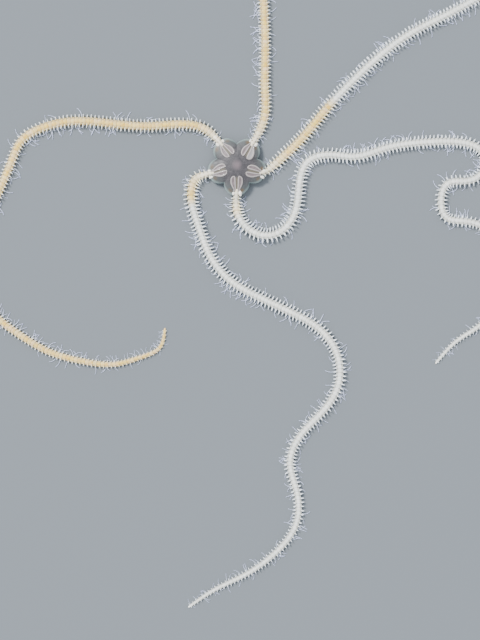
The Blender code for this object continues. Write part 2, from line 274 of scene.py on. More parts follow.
rng = random.Random(disc_seed)
spots = np.zeros(len(skin))
for degrees in arm_bearings.values():
    for side in (-1, 1):
        place = math.radians(degrees + side * (spot_offset + rng.uniform(*spot_offset_scatter)))
        out = spot_reach + rng.uniform(*spot_reach_scatter)
        away = np.hypot(skin[:, 0] - out * math.cos(place), skin[:, 1] - out * math.sin(place))
        near = np.clip(1 - away / (spot_size * rng.uniform(*spot_sizes)), 0, 1)
        spots = np.maximum(spots, near ** spot_crispness * rng.uniform(*spot_strengths))
set_mask(disc_skin, "margin", ramp(share, *margin_tinge) ** margin_crispness)
set_mask(disc_skin, "lobe", lobe_strength * ramp(reach, *lobe_tinge))
set_mask(disc_skin, "centre", ramp(reach, *centre_tinge) * above)
set_mask(disc_skin, "spot", spots * above)
# Painted shade in the slits under the disc
set_mask(disc_skin, "painted_slit_shade", slits ** slit_crispness)
set_mask(disc_skin, "groove", grooves)
set_mask(disc_skin, "lip", lip_marks)
set_mask(disc_skin, "under", under * off_edge)


def add_node(tree, kind, **inputs):
    """A shader node with some of its inputs set, or joined to other nodes' outputs."""
    node = tree.nodes.new(kind)
    for name, value in inputs.items():
        socket = node.inputs[name.replace("_", " ")]
        if isinstance(value, bpy.types.NodeSocket):
            tree.links.new(value, socket)
        else:
            socket.default_value = value
    return node


def mask_of(tree, name):
    node = tree.nodes.new("ShaderNodeAttribute")
    node.attribute_name = name
    return node.outputs["Fac"]


def blend_colors(tree, share, first, second, blend="MIX"):
    node = tree.nodes.new("ShaderNodeMix")
    node.data_type = "RGBA"
    node.blend_type = blend
    for number, value in ((0, share), (6, first), (7, second)):
        if isinstance(value, bpy.types.NodeSocket):
            tree.links.new(value, node.inputs[number])
        else:
            node.inputs[number].default_value = value if number == 0 else (*value, 1)
    return node.outputs[2]


def make_grain_group():
    """Grain of skin and calcite: a mottled mask and a fine bump."""
    group = bpy.data.node_groups.new("living_grain", "ShaderNodeTree")
    for name, value in (("Mottle Scale", 900), ("Grain Scale", 6000), ("Grain Depth", 0.00002)):
        socket = group.interface.new_socket(name, in_out="INPUT", socket_type="NodeSocketFloat")
        socket.default_value = value
    for name, kind in (("Mottle", "Float"), ("Grain", "Float"), ("Normal", "Vector")):
        group.interface.new_socket(name, in_out="OUTPUT", socket_type="NodeSocket" + kind)
    into = group.nodes.new("NodeGroupInput")
    out = group.nodes.new("NodeGroupOutput")
    place = group.nodes.new("ShaderNodeTexCoord").outputs["Object"]
    mottle = add_node(group, "ShaderNodeTexNoise", Vector=place,
                      Scale=into.outputs["Mottle Scale"], Detail=4.0)
    cells = add_node(group, "ShaderNodeTexVoronoi", Vector=place, Scale=into.outputs["Grain Scale"])
    bump = add_node(group, "ShaderNodeBump", Height=cells.outputs["Distance"],
                    Distance=into.outputs["Grain Depth"], Strength=0.9)
    bump.invert = True
    group.links.new(mottle.outputs["Fac"], out.inputs["Mottle"])
    group.links.new(cells.outputs["Distance"], out.inputs["Grain"])
    group.links.new(bump.outputs["Normal"], out.inputs["Normal"])
    return group


living_grain = make_grain_group()


def add_grain(tree, mottle_scale, grain_scale, grain_depth):
    node = tree.nodes.new("ShaderNodeGroup")
    node.node_tree = living_grain
    node.inputs["Mottle Scale"].default_value = mottle_scale
    node.inputs["Grain Scale"].default_value = grain_scale
    node.inputs["Grain Depth"].default_value = grain_depth
    return node


def spread(tree, value, low, high):
    """A value stretched so that low becomes 0 and high becomes 1."""
    node = add_node(tree, "ShaderNodeMapRange", Value=value)
    node.inputs["From Min"].default_value = low
    node.inputs["From Max"].default_value = high
    return node.outputs["Result"]


def mottled(tree, grain, dark, light, low=0.35, high=0.65):
    return blend_colors(tree, spread(tree, grain.outputs["Mottle"], low, high), dark, light)


def add_tinges(tree, color, tinges):
    for mask, tinge in tinges.items():
        color = blend_colors(tree, mask_of(tree, mask), color, tinge)
    return color


def put_looks(tree, shader, color, grain):
    tree.links.new(color, shader.inputs["Base Color"])
    tree.links.new(grain.outputs["Normal"], shader.inputs["Normal"])


skin_finish, tree, shader = new_finish("wet_grey_skin", skin_roughness)
grain = add_grain(tree, *skin_grain)
color = add_tinges(tree, mottled(tree, grain, skin_dark, skin_light), tinges_under_grain)
color = blend_colors(tree, spread(tree, grain.outputs["Grain"], *grain_range), color, grain_color)
put_looks(tree, shader, add_tinges(tree, color, tinges_over_grain), grain)
shader.inputs["Coat Weight"].default_value = skin_wetness
shader.inputs["Coat Roughness"].default_value = wetness_roughness
disc_skin.data.materials.append(skin_finish)
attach(disc_skin, "root")
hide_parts("disc")


# Radial shields: ten half-moon plates of calcite that lie in pairs on the disc,
# one pair over each arm, with a straight slit between the two. Each has a pale
# raised rim round a sunk, pinker middle, and the skin grips its edge.
shield_corners = ((0.45, 0.0), (0.0, 0.0), (-0.02, 0.8), (0.7, 1.42), (2.1, 1.42), (3.2, 0.8),
                  (4.0, 0.5), (4.0, 0.0), (3.6, 0.0))
# Steps from the plate's foot over its rim to its middle: inset and height in millimetres
shield_steps = ((0, 0), (0, 0.60), (0.04, 0.76), (0.11, 0.85), (0.22, 0.88), (0.32, 0.86),
                (0.40, 0.80), (0.54, 0.79))
shield_points = 30
shield_rim_steps = 5
shield_rounding = 2
shield_slit = 0.56 * mm
shield_sunk = 0.64 * mm
shield_splay = 2.5
shield_widths = (0.94, 1.06)
# One shield is wider than the others and filled with pale calcite
filled_shield = ("arm_1", -1)
filled_width = 1.15
shield_roughness = 0.42
shield_grain = (1500, 9000, 0.000012)
shield_dark = (0.111, 0.084, 0.087)
shield_light = (0.176, 0.137, 0.140)
shield_tinges = {"filled": (0.273, 0.258, 0.257), "rim": (0.319, 0.284, 0.268)}
shield_wetness = 0.1


def pick_faces(piece, test):
    """Select the faces that pass a test and go into edit mode."""
    bpy.ops.object.mode_set(mode="EDIT")
    bpy.ops.mesh.select_mode(type="FACE")
    bpy.ops.mesh.select_all(action="DESELECT")
    bpy.ops.object.mode_set(mode="OBJECT")
    for face in piece.data.polygons:
        face.select = test(face)
    bpy.ops.object.mode_set(mode="EDIT")


def round_off(piece, levels):
    smooth = piece.modifiers.new("Round", "SUBSURF")
    smooth.levels = levels
    smooth.render_levels = levels
    bpy.context.view_layer.objects.active = piece
    bpy.ops.object.modifier_apply(modifier=smooth.name)


def join_pieces(name, pieces):
    bpy.ops.object.select_all(action="DESELECT")
    for piece in pieces:
        piece.select_set(True)
    bpy.context.view_layer.objects.active = pieces[0]
    bpy.ops.object.join()
    pieces[0].name = name
    pieces[0].data.name = name
    return pieces[0]


def rounded(corners, count, cuts=4):
    """Closed outline of evenly spaced points, with the corners cut round."""
    line = np.array(corners, float)
    for cut in range(cuts):
        ahead = np.roll(line, -1, axis=0)
        line = np.stack([0.75 * line + 0.25 * ahead, 0.25 * line + 0.75 * ahead], axis=1).reshape(-1, 2)
    closed = np.vstack([line, line[:1]])
    marks = np.concatenate([[0], np.cumsum(np.hypot(*np.diff(closed, axis=0).T))])
    even = np.linspace(0, marks[-1], count, endpoint=False)
    return np.stack([np.interp(even, marks, closed[:, axis]) for axis in (0, 1)], axis=1)


def toward_middle(outline, inset, end_share=0.3, most=0.8):
    """The outline drawn in by an inset towards the middle line of its longer way."""
    start = np.roll(outline, -outline[:, 0].argmin(), axis=0)
    far = start[:, 0].argmax()
    first, second = start[:far + 1], np.vstack([start[far:], start[:1]])[::-1]
    low, high = outline[:, 0].min(), outline[:, 0].max()
    end = end_share * min(high - low, np.ptp(outline[:, 1]))
    x = np.clip(outline[:, 0], low + end, high - end)
    y = (np.interp(x, first[:, 0], first[:, 1]) + np.interp(x, second[:, 0], second[:, 1])) / 2
    way = np.stack([x, y], axis=1) - outline
    return outline + way * np.minimum(inset / np.hypot(*way.T), most)[:, None]


def model_slab(corners, steps, count):
    """Closed plate in millimetres, its foot on z = 0, with a ring of faces for each inset and height."""
    bpy.ops.mesh.primitive_circle_add(vertices=count, radius=1, fill_type="NGON")
    slab = bpy.context.object
    pick_faces(slab, lambda face: True)
    bpy.ops.mesh.extrude_region_move(TRANSFORM_OT_translate={"value": (0, 0, 1)})
    ring_gap = 0.8 / len(steps)
    for step in steps[2:]:
        bpy.ops.mesh.inset(thickness=ring_gap)
    bpy.ops.object.mode_set(mode="OBJECT")
    points = points_of(slab)
    # The rings are counted inwards, the foot before the ring that stands over it
    order = np.argsort(ring_gap / 2 * (points[:, 2] > 0.5) - np.hypot(points[:, 0], points[:, 1]))
    ring = np.empty(len(points), int)
    ring[order] = np.arange(len(points)) // count
    spoke = np.round(np.arctan2(points[:, 1], points[:, 0]) / math.tau * count).astype(int) % count
    outline = rounded(corners, count)
    outlines = np.array([toward_middle(outline, inset) for inset, height in steps])
    points[:, :2] = outlines[ring, spoke]
    points[:, 2] = np.array(steps)[ring, 1]
    put_points(slab, points)
    set_mask(slab, "step", ring)
    bpy.ops.object.mode_set(mode="EDIT")
    bpy.ops.mesh.select_all(action="SELECT")
    bpy.ops.mesh.normals_make_consistent(inside=False)
    bpy.ops.object.mode_set(mode="OBJECT")
    return slab


def steps_of(piece):
    steps = np.empty(len(piece.data.vertices), np.float32)
    piece.data.attributes["step"].data.foreach_get("value", steps)
    return steps


def copy_of(piece):
    twin = piece.copy()
    twin.data = piece.data.copy()
    bpy.context.collection.objects.link(twin)
    return twin


shield_pattern = model_slab(shield_corners, shield_steps, shield_points)
shields = []
for arm, degrees in arm_bearings.items():
    for side in (-1, 1):
        filled = (arm, side) == filled_shield
        shield = copy_of(shield_pattern)
        points = points_of(shield) * mm
        wide = filled_width if filled else rng.uniform(*shield_widths)
        along, across, height = points.T.copy()
        across = side * (shield_slit / 2 + across * wide)
        out, aside = turned(along, across, -math.radians(side * shield_splay))
        aside -= shield_lean[arm] * (1 - along / shield_length)
        points[:, 0], points[:, 1] = turned(shield_inner_reach + out, aside, math.radians(degrees))
        points[:, 2] = skin_level(points[:, 0], points[:, 1]) + height - shield_sunk
        put_points(shield, points)
        set_mask(shield, "rim", steps_of(shield) <= shield_rim_steps)
        set_mask(shield, "filled", np.full(len(points), float(filled)))
        if side < 0:
            shield.data.flip_normals()
        shields.append(shield)
bpy.data.objects.remove(shield_pattern)
radial_shields = join_pieces("radial_shields", shields)
round_off(radial_shields, shield_rounding)
bpy.ops.object.shade_smooth()

shield_finish, tree, shader = new_finish("shield_calcite", shield_roughness)
grain = add_grain(tree, *shield_grain)
color = add_tinges(tree, mottled(tree, grain, shield_dark, shield_light), shield_tinges)
put_looks(tree, shader, color, grain)
shader.inputs["Coat Weight"].default_value = shield_wetness
radial_shields.data.materials.append(shield_finish)
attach(radial_shields, "root")


# Knobs: the outer end of each radial shield bears on a plate beside the arm,
# and the two meet in a rounded, white lump at the edge of the disc.
knob_reach = 6.95 * mm
knob_level = 1.74 * mm
knob_offset = 6.8
knob_size = Vector((0.66, 0.37, 0.42)) * mm
knob_sizes = (0.7, 1.2)
knob_lumps = 0.2
knob_lump_size = 0.35 * mm
knob_roughness = 0.3
knob_grain = (2500, 9000, 0.000012)
knob_dark = (0.74, 0.70, 0.60)
knob_light = (0.90, 0.87, 0.78)

knobs = []
for degrees in arm_bearings.values():
    for side in (-1, 1):
        bpy.ops.mesh.primitive_ico_sphere_add(subdivisions=4, radius=1)
        knob = bpy.context.object
        points = points_of(knob) * np.array(knob_size) * rng.uniform(*knob_sizes)
        shift = Vector((degrees, side, 0))
        lumps = [1 + knob_lumps * noise.noise(Vector(point) / knob_lump_size + shift) for point in points]
        points *= np.array(lumps)[:, None]
        turn = math.radians(degrees + side * knob_offset)
        points[:, 0], points[:, 1] = turned(points[:, 0] + knob_reach, points[:, 1], turn)
        points[:, 2] += knob_level
        put_points(knob, points)
        knobs.append(knob)
shield_knobs = join_pieces("shield_knobs", knobs)
bpy.ops.object.shade_smooth()

knob_finish, tree, shader = new_finish("knob_calcite", knob_roughness)
grain = add_grain(tree, *knob_grain)
put_looks(tree, shader, mottled(tree, grain, knob_dark, knob_light, low=0.3, high=0.7), grain)
shield_knobs.data.materials.append(knob_finish)
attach(shield_knobs, "root")


# Arms: each runs out from the mouth, under the disc, and lies on the floor in
# loose curves. The places that it passes are in millimetres from the mouth.
arm_under_disc = (2.39 * mm, 4.0 * mm, 5.8 * mm)
arm_root = -0.8 * mm
joint_pitch = 0.96 * mm
arm_base_width = 1.4 * mm
arm_full_width = 1.8 * mm
arm_tip_width = 0.6 * mm
arm_swell = (5.5 * mm, 9.0 * mm)
arm_fullness = 4
arm_taper = 0.75
mouth_narrowing = 0.3
mouth_narrows = (1.2 * mm, -0.6 * mm)
# Height of an arm in widths, and how square its section is
arm_height = 0.63
arm_squareness = 0.75
arm_core = 0.4
# The back rises over the disc's margin and sinks again towards the mouth
back_rises = (7.6 * mm, 4.1 * mm)
back_sinks = (2.2 * mm, 3.8 * mm)
back_rise = 1.5 * mm
back_rise_narrowness = 1.5
heading_step = 0.1 * mm
arm_places = {
    "arm_1": [
        (5.5, 8.35), (7.0, 12.7), (7.0, 19), (7.05, 26.5), (7.0, 34), (6.8, 39), (6.3, 44.5),
        (3.3, 52), (-3.7, 56.5), (-12.7, 56), (-20.5, 51), (-29.2, 49), (-38.2, 53.5),
        (-46.2, 61), (-55.5, 63.5), (-64.2, 59.5), (-68.7, 52.7)],
    "arm_2": [
        (9.7, 0.5), (16.5, 7.1), (22.5, 14.3), (28.7, 20.9), (35.9, 27.6), (43, 32.8),
        (54.4, 38.7), (62, 42.7), (70.8, 44.5), (78.3, 40.2), (81.3, 32), (79.8, 22.7),
        (77, 14), (77.8, 4.5), (82, -3.5), (83.8, -12.3)],
    "arm_3": [
        (0.1, -11.75), (3.4, -16.1), (7.9, -17.4), (12, -15.6), (14.75, -10.9), (15.6, -4.7),
        (17.7, 1.0), (22.85, 2.75), (29.45, 2.3), (37.1, 4.4), (45.8, 5.8), (52, 6.1),
        (57, 5.7), (60.8, 4), (62.3, 0.7), (60.5, -2.5), (57.2, -3.8), (52.85, -4.3),
        (51, -8.55), (52.4, -12.9), (57, -13.85), (62, -15.5), (65.8, -20.5), (66.5, -27.3),
        (65, -34), (60.8, -39.8), (55.3, -43.5), (50, -49)],
    "arm_4": [
        (-10.05, -3.1), (-11.4, -7.6), (-9.7, -14.7), (-6.7, -22.5), (-0.95, -29.15),
        (6.2, -33.1), (13.55, -36.6), (20.3, -40.5), (24.8, -46.5), (25.3, -54.8),
        (21.3, -61.5), (15.8, -67.5), (13.3, -74), (15, -81.5), (14.8, -89.5), (9.8, -96.5),
        (2.3, -102), (-5.7, -106), (-11.7, -110)],
    "arm_5": [
        (-8.4, 9.4), (-14.15, 10.4), (-21.7, 9.95), (-31.6, 10.6), (-40.5, 11.2),
        (-48.35, 9.6), (-53.8, 6.2), (-56.1, 1.5), (-58.7, -4.8), (-61.7, -11.5),
        (-64.7, -18.5), (-65.7, -25.5), (-63.7, -32.5), (-60.2, -37.5), (-54.5, -42.0),
        (-46.7, -46.5), (-38.5, -48.8), (-30.2, -49.5), (-24, -47.8), (-19.2, -45.3),
        (-18, -41)],
}
# Distances along each arm between which its plates turn from cream to white
cream_until = {"arm_1": (170 * mm, 190 * mm), "arm_2": (27.5 * mm, 30.5 * mm), "arm_3": (8.5 * mm, 11 * mm),
               "arm_4": (13 * mm, 15.5 * mm), "arm_5": (170 * mm, 190 * mm)}
# The skin of an arm is unrolled into rows, each from below the left flank round its back
unwrap_rows = 6
unwrap_end = 0.9999
unwrap_start = 0.75


class ArmLine:
    """Natural cubic spline through an arm's places, and the arm's width along it."""

    def __init__(self, bearing, places):
        under = [turned(out, 0, math.radians(bearing)) for out in arm_under_disc]
        self.knots = np.array(under + [(x * mm, y * mm) for x, y in places])
        self.chord = np.hypot(*np.diff(self.knots, axis=0).T)
        self.marks = np.concatenate(([0.0], np.cumsum(self.chord)))
        self.total = self.marks[-1]
        count = len(self.knots)
        system = np.eye(count)
        bend = np.zeros((count, 2))
        slope = np.diff(self.knots, axis=0) / self.chord[:, None]
        for i in range(1, count - 1):
            before, after = self.chord[i - 1], self.chord[i]
            system[i, i - 1:i + 2] = before, 2 * (before + after), after
            bend[i] = 6 * (slope[i] - slope[i - 1])
        self.curve = np.linalg.solve(system, bend)

    def place(self, distance):
        i = np.clip(np.searchsorted(self.marks, distance) - 1, 0, len(self.chord) - 1)
        span = self.chord[i][..., None]
        ahead = (self.marks[i + 1] - distance)[..., None] / span
        done = 1 - ahead
        curved = (ahead ** 3 - ahead) * self.curve[i] + (done ** 3 - done) * self.curve[i + 1]
        return ahead * self.knots[i] + done * self.knots[i + 1] + curved * span ** 2 / 6

    def heading(self, distance):
        ahead = self.place(distance + heading_step) - self.place(distance - heading_step)
        return ahead / np.linalg.norm(ahead, axis=-1, keepdims=True)

    def width(self, distance):
        full = arm_base_width + (arm_full_width - arm_base_width) * eased(ramp(distance, *arm_swell))
        taper = (1 - np.clip(distance / self.total, 0, 1) ** arm_fullness) ** arm_taper
        at_mouth = 1 - mouth_narrowing * ramp(distance, *mouth_narrows)
        return (arm_tip_width + (full - arm_tip_width) * taper) * at_mouth

    def wrap(self, distance, around, depth):
        """Points at a distance along the arm, half turns round it from its back, and a depth in widths."""
        up, level = np.cos(math.pi * np.asarray(around)), np.sin(math.pi * np.asarray(around))
        grow = 1 - np.asarray(depth) / arm_core
        side = 0.5 * np.sign(level) * np.abs(level) ** arm_squareness * grow
        rise = 0.5 * arm_height * np.sign(up) * np.abs(up) ** arm_squareness * grow
        width = self.width(distance)
        heading = self.heading(distance)
        middle = self.place(distance)
        x = middle[..., 0] + heading[..., 1] * side * width
        y = middle[..., 1] - heading[..., 0] * side * width
        climb = ramp(distance, *back_rises) * ramp(distance, *back_sinks)
        lift = back_rise * eased(climb) * (0.5 + 0.5 * up) ** back_rise_narrowness
        return np.stack([x, y, (0.5 * arm_height + rise) * width + lift], axis=-1)


arm_lines = {arm: ArmLine(arm_bearings[arm], places) for arm, places in arm_places.items()}


def cream_share(arm, distance):
    return 1 - ramp(distance, *cream_until[arm])


def unwrap(line, distance, around):
    """A place on the unrolled skin of an arm, cut into rows that fill a square."""
    share = np.clip(distance / line.total, 0, unwrap_end) * unwrap_rows
    row = np.floor(share)
    return np.stack([share - row, (row + (np.asarray(around) + unwrap_start) / 2) / unwrap_rows], axis=-1)


# Arm skin: under the plates each arm is one soft, brownish-grey sleeve, which
# shows in the thin seams between plates.
sleeve_sides = 20
sleeve_rings = 2
sleeve_depth = 0.05
sleeve_merge = 0.002 * mm
sleeve_steps = 2000
sleeve_roughness = 0.5
sleeve_white = (0.42, 0.42, 0.40)
sleeve_cream = (0.37, 0.32, 0.21)

sleeve_finish, tree, shader = new_finish("arm_skin", sleeve_roughness)
color = blend_colors(tree, mask_of(tree, "cream"), sleeve_white, sleeve_cream)
tree.links.new(color, shader.inputs["Base Color"])

for arm, line in arm_lines.items():
    length = line.total - arm_root
    rings = int(length / joint_pitch) * sleeve_rings
    bpy.ops.mesh.primitive_grid_add(x_subdivisions=rings, y_subdivisions=sleeve_sides, size=1)
    sleeve = bpy.context.object
    sheet = points_of(sleeve)
    distance = arm_root + (sheet[:, 0] + 0.5) * length
    put_points(sleeve, line.wrap(distance, 2 * sheet[:, 1], sleeve_depth))
    bpy.ops.object.mode_set(mode="EDIT")
    bpy.ops.mesh.select_all(action="SELECT")
    bpy.ops.mesh.remove_doubles(threshold=sleeve_merge)
    bpy.ops.mesh.fill_holes(sides=0)
    bpy.ops.mesh.normals_make_consistent(inside=False)
    bpy.ops.object.mode_set(mode="OBJECT")
    bpy.ops.object.shade_smooth()
    sleeve.name = arm + "_skin"
    steps = np.linspace(arm_root, line.total, sleeve_steps)
    path = line.place(steps)
    nearest = [steps[np.argmin(np.hypot(*(path - point[:2]).T))] for point in points_of(sleeve)]
    set_mask(sleeve, "cream", cream_share(arm, np.array(nearest)))
    sleeve.data.materials.append(sleeve_finish)
    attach(sleeve, "root")


# Arm plates: every joint of an arm is clad in four thin plates of calcite, one on
# the back, one on the underside and one on each flank. They are modelled once and
# laid joint by joint along the arms, bent to the arm's line.
plate_thickness = 0.07
plate_sink = -0.45
# Insets of a plate's face and the rise of each, from its edge to its dome
plate_dome = ((0.10, 0.30), (0.16, 0.15))
plate_tilt = 0.25
flare_lateness = 1.6
flare_narrowness = 3
plate_seed = 0
plate_roughness = 0.42
plate_grain = (1600, 8000, 0.000014)
white_dark = (0.80, 0.79, 0.72)
white_light = (0.93, 0.93, 0.88)
cream_dark = (0.77, 0.46, 0.062)
cream_light = (0.88, 0.63, 0.128)
blush_grain = (650, 8000, 0.000014)
blush_range = (0.53, 0.73)
blush_color = (0.87, 0.565, 0.315)
shade_color = (0.44, 0.445, 0.42)
clear = (1.0, 1.0, 1.0)
plate_glow = 0.15
plate_glow_reach = (0.0004, 0.0003, 0.0002)
# The plates under every arm are cream near the disc, and the first few of the others are paler
under_cream = (64 * mm, 24 * mm)
root_cream = (3 * mm, 12 * mm)
root_cream_least = 0.35
flank_cream = 0.8
edge_cream_loss = 0.2
cream_scatter = (0.78, 1)
# Painted shade: the flanks, the plates' edges and their walls down in the seams are darker than the middles
# of the backs, which leaves a painted bright band along each back; less so where they are cream
flank_painted_shade = 0.2
flank_painted_shade_cream = 0.5
edge_painted_shade = 0.9
edge_painted_shade_cream = 0.5
seam_painted_shade = 0.4
tone_scatter = (0.75, 1)


def joints_of(line, start=arm_root):
    """How many joints an arm has from a place on, and the length of one."""
    joints = round((line.total - start) / joint_pitch)
    return joints, (line.total - start) / joints


def chance_for(arm, seed):
    return np.random.default_rng(seed + list(arm_lines).index(arm))


def take_shape(piece):
    """The points and faces of a pattern, which is then put away."""
    shape = {"points": points_of(piece),
             "starts": np.array([face.loop_start for face in piece.data.polygons]),
             "corners": np.array([loop.vertex_index for loop in piece.data.loops])}
    bpy.data.objects.remove(piece)
    return shape


def model_plate(corners, squareness, fan):
    """Thin plate, 1 long, 1 wide and 1 thick, with rounded corners and a domed face."""
    bpy.ops.mesh.primitive_cylinder_add(vertices=corners, radius=0.5, depth=1)
    plate = bpy.context.object
    points = points_of(plate)
    angle = np.arctan2(points[:, 1], points[:, 0])
    square = (np.abs(np.cos(angle)) ** squareness + np.abs(np.sin(angle)) ** squareness) ** (-1 / squareness)
    points[:, :2] *= square[:, None]
    points[:, 1] *= 1 + fan * points[:, 0]
    put_points(plate, points)
    pick_faces(plate, lambda face: face.normal.z > 0.9)
    bpy.ops.transform.translate(value=(0, 0, plate_sink))
    for inset, rise in plate_dome:
        bpy.ops.mesh.inset(thickness=inset, depth=rise)
    bpy.ops.object.mode_set(mode="OBJECT")
    return take_shape(plate)


def join_copies(name, shape, points, patches):
    """One mesh of many copies of a shape, given the points of each and their places on the unwrap."""
    copies, count = points.shape[:2]
    shift = np.arange(copies)[:, None]
    corners = (shape["corners"][None] + shift * count).ravel()
    starts = (shape["starts"][None] + shift * len(shape["corners"])).ravel()
    mesh = bpy.data.meshes.new(name)
    mesh.vertices.add(copies * count)
    mesh.vertices.foreach_set("co", points.ravel())
    mesh.loops.add(len(corners))
    mesh.loops.foreach_set("vertex_index", corners)
    mesh.polygons.add(len(starts))
    mesh.polygons.foreach_set("loop_start", starts)
    mesh.update(calc_edges=True)
    mesh.validate()
    layer = mesh.uv_layers.new(name="OFBake")
    layer.data.foreach_set("uv", patches.reshape(-1, 2)[corners].ravel())
    piece = bpy.data.objects.new(name, mesh)
    bpy.context.collection.objects.link(piece)
    mesh.polygons.foreach_set("use_smooth", np.ones(len(starts), bool))
    return piece


back_plate = model_plate(corners=14, squareness=2.6, fan=0.35)
flank_plate = model_plate(corners=16, squareness=3.5, fan=0.15)
under_plate = model_plate(corners=12, squareness=3.5, fan=-0.15)
# Where each plate lies: shape, half turns round the arm, length in joints, width in half turns,
# shift in joints, and how far its outer edge flares, in arm widths
plate_sites = {
    "back": (back_plate, 0.0, 1.02, 0.50, 0.02, 0.0),
    "flank_left": (flank_plate, -0.46, 0.98, 0.52, 0.0, 0.16),
    "flank_right": (flank_plate, 0.46, 0.98, 0.52, 0.0, 0.16),
    "under": (under_plate, 1.0, 0.90, 0.53, 0.0, 0.0),
}

plate_finish, tree, shader = new_finish("arm_calcite", plate_roughness)
grain = add_grain(tree, *plate_grain)
blush = add_grain(tree, *blush_grain)
white = mottled(tree, grain, white_dark, white_light)
cream = mottled(tree, grain, cream_dark, cream_light)
cream = blend_colors(tree, spread(tree, blush.outputs["Mottle"], *blush_range), cream, blush_color)
color = blend_colors(tree, mask_of(tree, "cream"), white, cream)
# Painted shade: the shade colour darkens the plates where the mask is low, and a random tone varies it per
# joint
shade = blend_colors(tree, mask_of(tree, "shade_and_tone"), shade_color, clear)
put_looks(tree, shader, blend_colors(tree, 1.0, color, shade, "MULTIPLY"), grain)
shader.inputs["Subsurface Weight"].default_value = plate_glow
shader.inputs["Subsurface Radius"].default_value = plate_glow_reach


def lay_plates(arm, line):
    joints, pitch = joints_of(line)
    middles = arm_root + (np.arange(joints) + 0.5) * pitch
    chance = chance_for(arm, plate_seed)
    kinds = []
    for kind, (shape, turn, length, width, shift, flare) in plate_sites.items():
        along, across, up = shape["points"].T[:, None]
        distance = np.clip(middles[:, None] + (along * length + shift) * pitch, arm_root, line.total)
        around = turn + across * width + np.zeros_like(distance)
        lift = up + 0.5 + plate_tilt * along
        raised = np.clip(lift, 0, 1)
        ridge = np.clip(along + 0.5, 0, 1) ** flare_lateness
        ridge = ridge * np.clip(1 - flare_narrowness * across ** 2, 0, 1)
        points = line.wrap(distance, around, plate_thickness * (1 - raised) - flare * ridge * raised)
        piece = join_copies(f"{arm}_{kind}", shape, points, unwrap(line, distance, around))
        creamy = cream_share(arm, distance)
        edge = np.clip(2 * np.abs(across), 0, 1)
        cream = creamy * np.maximum(ramp(distance, *root_cream), root_cream_least)
        # Painted shade on the plates' edges and flanks, and on their walls down in the seams, times a random
        # tone per joint
        shade_and_tone = 1 - (edge_painted_shade - edge_painted_shade_cream * creamy) * edge
        if kind == "under":
            cream = np.maximum(creamy, ramp(distance, *under_cream))
        elif kind == "back":
            cream = cream * (1 - edge_cream_loss * edge ** 2)
        else:
            cream = cream * flank_cream
            shade_and_tone = flank_painted_shade + flank_painted_shade_cream * creamy
        set_mask(piece, "cream", cream * chance.uniform(*cream_scatter, joints)[:, None])
        shade_and_tone = shade_and_tone * chance.uniform(*tone_scatter, joints)[:, None]
        set_mask(piece, "shade_and_tone", np.clip(shade_and_tone * np.clip(seam_painted_shade + lift, 0, 1), 0, 1))
        kinds.append(piece)
    plates = join_pieces(arm + "_plates", kinds)
    plates.data.materials.append(plate_finish)
    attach(plates, "root")
    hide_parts(*[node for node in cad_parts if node.startswith(arm)])


for arm, line in arm_lines.items():
    lay_plates(arm, line)


# Arm tips: the last joint of each arm ends in one small blunt plate, a hood of
# calcite that the new joints grow under.
tip_length = 0.55 * mm
tip_width = 0.92
tip_height = 0.6
tip_narrowing = 0.25
tip_cream = 0.8

for arm, line in arm_lines.items():
    bpy.ops.mesh.primitive_uv_sphere_add(segments=24, ring_count=14, radius=0.5)
    hood = bpy.context.object
    width = float(line.width(line.total))
    points = points_of(hood) * np.array([2 * tip_length, tip_width * width, tip_height * width])
    points[:, 1:] *= (1 - tip_narrowing * np.clip(points[:, 0] / tip_length, 0, 1))[:, None]
    ahead, middle = line.heading(line.total), line.place(line.total)
    points[:, 0], points[:, 1] = turned(points[:, 0], points[:, 1], math.atan2(ahead[1], ahead[0]))
    points += np.array([*middle, 0.5 * arm_height * width])
    put_points(hood, points)
    bpy.ops.object.shade_smooth()
    hood.name = arm + "_tip"
    set_mask(hood, "cream", np.full(len(points), tip_cream * cream_share(arm, np.array(line.total))))
    set_mask(hood, "shade_and_tone", np.ones(len(points)))
    hood.data.materials.append(plate_finish)
    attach(hood, "root")


# Arm spines: each flank plate carries a fan of blunt, glassy spines, six near the
# disc and three at the tip, that stand out from the arm and lean a little to its tip.
spine_first = 0.5 * mm
spine_place = 0.80
spine_place_scatter = 0.05
most_spines = 6
fewest_spines = 3
spine_loss = 1.15
# Reach of the spines in arm widths: shorter on the cream arms
spine_reach = {"arm_1": 0.32, "arm_2": 0.51, "arm_3": 0.50, "arm_4": 0.50, "arm_5": 0.38}
spine_least = 0.30 * mm
spine_lengths = (0.80, 1.12)
shorter_along = (42 * mm, 62 * mm)
shorter_by = 0.2
root_spines = (4.2 * mm, 6.6 * mm)
root_spine_share = 0.5
spine_thickness = 0.072
spine_thinnest = 0.060 * mm
spine_root_radius = 1.5
spine_end_radius = 0.32
spine_cuts = (0.25, -0.2)
spine_end_bevel = (0.2, 0.05)
spine_sunk = -0.05
fan_top = 0.24
fan_bottom = 0.66
fan_sweep = 5
fan_lift = 50
spine_lean = 7
lift_scatter = 6
sweep_scatter = 4.5
spine_clearance = 0.02 * mm
spine_fall = (-0.2, 0.9)
spine_seed = 20
spine_roughness = 0.28
spine_root_white = (0.82, 0.85, 0.86)
spine_root_cream = (0.90, 0.79, 0.46)
spine_end_color = (0.84, 0.88, 0.91)
spine_color_range = (0.15, 0.85)
spine_glow = 0.2
spine_glow_reach = (0.0003, 0.0003, 0.0003)
patch_side = 0.003

spine_finish, tree, shader = new_finish("spine_glass", spine_roughness)
color = blend_colors(tree, mask_of(tree, "cream"), spine_root_white, spine_root_cream)
outward = spread(tree, mask_of(tree, "outward"), *spine_color_range)
color = blend_colors(tree, outward, color, spine_end_color)
tree.links.new(color, shader.inputs["Base Color"])
shader.inputs["Subsurface Weight"].default_value = spine_glow
shader.inputs["Subsurface Radius"].default_value = spine_glow_reach


